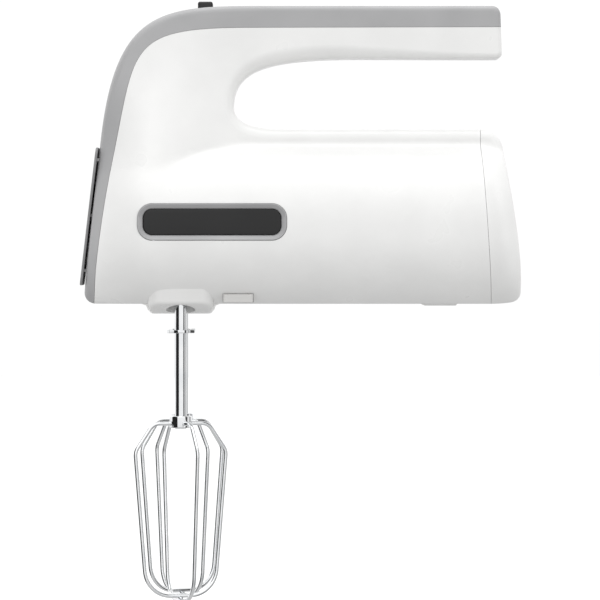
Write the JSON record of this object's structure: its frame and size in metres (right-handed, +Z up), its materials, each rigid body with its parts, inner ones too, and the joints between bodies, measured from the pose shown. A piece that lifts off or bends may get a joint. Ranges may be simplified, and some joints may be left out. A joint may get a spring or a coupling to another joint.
{
  "type": "hand mixer",
  "caption": "Cordless hand mixer with an open-ended top grip, a slanted vented front, a speed and eject knob, and two removable wire beaters.",
  "frame": {"origin": "centre of the boss sole, midway between the two beater axes, on the flat strip that faces down", "axes": "+X to the rear (away from the slanted front), +Y to the user's right, +Z up along the beater axes"},
  "size_m": [0.2059, 0.0821, 0.2808],
  "materials": {
    "white_body": "satin moulded ABS, white",
    "outlet_light": "light grey moulded ABS",
    "grey_trim": "satin painted ABS, mid grey",
    "cover_grey": "satin moulded ABS, grey",
    "dark_badge": "glossy dark grey plate",
    "black_knob": "fine matt moulded ABS, black",
    "dark_plastic": "moulded nylon, dark",
    "gear_plastic": "moulded acetal, natural",
    "steel": "plain steel",
    "screw_steel": "zinc plated steel",
    "bronze": "sintered bronze",
    "magnet": "ferrite and carbon",
    "copper": "copper",
    "board": "glass-epoxy board",
    "wire_insulation": "PVC insulation",
    "beater_chrome": "bright chrome plate on steel"
  },
  "bodies": {
    "mixer_body": {"battery_cells": "steel", "battery_holder": "dark_plastic", "battery_straps": "steel", "charging_socket": "dark_plastic", "control_board": "board", "eject_spring": "screw_steel", "front_vent_cover": "cover_grey", "gearbox_cover": "gear_plastic", "gearbox_screws": "screw_steel", "gearbox_tray": "gear_plastic", "housing_screws": "screw_steel", "left_air_outlet": "outlet_light", "left_badge_bezel": "grey_trim", "left_badge_plate": "dark_badge", "left_housing": "white_body", "lower_bushes": "bronze", "motor_bearings": "steel", "motor_brushes": "magnet", "motor_can": "steel", "motor_end_bell": "dark_plastic", "motor_magnets": "magnet", "motor_mount": "steel", "motor_screws": "screw_steel", "rear_cap": "white_body", "rest_foot": "white_body", "right_air_outlet": "outlet_light", "right_badge_bezel": "grey_trim", "right_badge_plate": "dark_badge", "right_housing": "white_body", "socket_rings": "dark_plastic", "speed_switch": "dark_plastic", "spine_trim": "grey_trim", "upper_bushes": "bronze", "wiring": "wire_insulation", "worm_bearings": "steel"},
    "left_drive": {"left_spindle": "steel", "left_worm_wheel": "gear_plastic", "left_retaining_clip": "steel"},
    "right_drive": {"right_spindle": "steel", "right_worm_wheel": "gear_plastic", "right_retaining_clip": "steel"},
    "left_beater": {"left_beater_shaft": "beater_chrome", "left_beater_collar": "beater_chrome", "left_beater_hub": "beater_chrome", "left_beater_loop_a": "beater_chrome", "left_beater_loop_b": "beater_chrome"},
    "right_beater": {"right_beater_shaft": "beater_chrome", "right_beater_collar": "beater_chrome", "right_beater_hub": "beater_chrome", "right_beater_loop_a": "beater_chrome", "right_beater_loop_b": "beater_chrome"},
    "rotor": {"motor_shaft": "steel", "worm": "steel", "armature_core": "steel", "armature_windings": "copper", "commutator": "copper", "cooling_fan": "gear_plastic"},
    "speed_slider": {"slider_carriage": "black_knob"},
    "knob": {"speed_knob": "black_knob"},
    "ejector": {"eject_rod": "dark_plastic"}
  },
  "joints": [
    {"name": "left_spin", "type": "hinge", "parent": "mixer_body", "child": "left_drive", "pos_m": [0, -0.02, 0.042], "axis": [0, 0, 1], "continuous": true},
    {"name": "right_spin", "type": "hinge", "parent": "mixer_body", "child": "right_drive", "pos_m": [0, 0.02, 0.042], "axis": [0, 0, 1], "continuous": true},
    {"name": "rotor_spin", "type": "hinge", "parent": "mixer_body", "child": "rotor", "pos_m": [0, 0, 0.042], "axis": [1, 0, 0], "continuous": true},
    {"name": "left_beater_pull", "type": "slide", "parent": "left_drive", "child": "left_beater", "axis": [0, 0, -1], "range_m": [0, 0.045]},
    {"name": "right_beater_pull", "type": "slide", "parent": "right_drive", "child": "right_beater", "axis": [0, 0, -1], "range_m": [0, 0.045]},
    {"name": "speed_slide", "type": "slide", "parent": "mixer_body", "child": "speed_slider", "axis": [1, 0, 0], "range_m": [0, 0.016]},
    {"name": "eject_press", "type": "slide", "parent": "speed_slider", "child": "knob", "axis": [0, 0, -1], "range_m": [0, 0.004], "stiffness_N_per_m": 500, "springref_m": -0.001},
    {"name": "ejector_drop", "type": "slide", "parent": "mixer_body", "child": "ejector", "axis": [0, 0, -1], "range_m": [0, 0.004], "stiffness_N_per_m": 200, "springref_m": -0.002, "deforming": ["eject_spring"]}
  ],
  "couplings": [
    {"joint": "right_spin", "follows": "left_spin", "ratio": -1},
    {"joint": "rotor_spin", "follows": "left_spin", "ratio": 15},
    {"joint": "ejector_drop", "follows": "eject_press", "ratio": 1}
  ]
}
